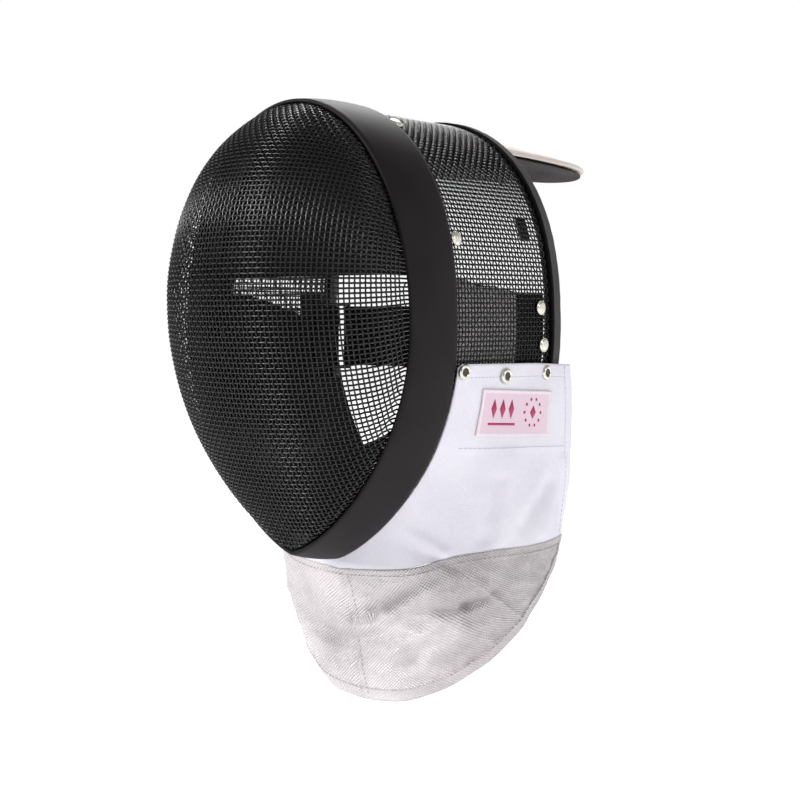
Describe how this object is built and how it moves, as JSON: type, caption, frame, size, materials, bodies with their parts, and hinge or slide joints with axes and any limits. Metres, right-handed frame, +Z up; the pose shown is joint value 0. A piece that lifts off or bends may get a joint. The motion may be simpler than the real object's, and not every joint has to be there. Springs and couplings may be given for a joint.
{
  "type": "fencing mask",
  "caption": "Fencing mask: domed wire face, open wire hood, dark trim band, cloth bib with a conductive lower panel, sprung tongue, pads and back strap.",
  "frame": {"origin": "the point on the underside of the crown pad where the top of the head rests", "axes": "the face looks along -Y, +X is towards the wearer's left ear, +Z up"},
  "size_m": [0.2214, 0.379, 0.4075],
  "materials": {
    "wire_mesh": "black coated woven wire",
    "trim": "dark satin sheet plastic",
    "binding": "grey woven tape",
    "bib_cloth": "matte white cloth",
    "conductive_cloth": "fine metallic weave",
    "patch": "pale pink printed cloth",
    "tongue_cover": "cream coated cloth",
    "tongue_lining": "dark grey felted cloth",
    "nickel": "nickel plate",
    "padding": "black padded knit",
    "strap": "black woven elastic",
    "slide": "black moulded"
  },
  "bodies": {
    "root": {"front_trim": "trim", "front_mesh": "wire_mesh", "side_mesh": "wire_mesh", "rear_binding": "binding", "bib_upper": "bib_cloth", "bib_lower": "conductive_cloth", "label_patch": "patch", "tongue_cover": "tongue_cover", "tongue_lining": "tongue_lining", "crown_pad": "padding", "forehead_pad": "padding", "chin_pad": "padding", "cheek_pad_left": "padding", "cheek_pad_right": "padding", "strap_tab_left": "strap", "strap_tab_right": "strap", "side_tab_left": "strap", "side_tab_right": "strap", "back_strap": "strap", "strap_end": "strap", "strap_slide": "slide", "rivet_top_left": "nickel", "rivet_top_right": "nickel", "rivet_temple_left": "nickel", "rivet_temple_right": "nickel", "rivet_strap_upper_left": "nickel", "rivet_strap_upper_right": "nickel", "rivet_strap_lower_left": "nickel", "rivet_strap_lower_right": "nickel", "snap_front_left": "nickel", "snap_front_right": "nickel", "snap_middle_left": "nickel", "snap_middle_right": "nickel", "snap_rear_left": "nickel", "snap_rear_right": "nickel"}
  },
  "joints": []
}
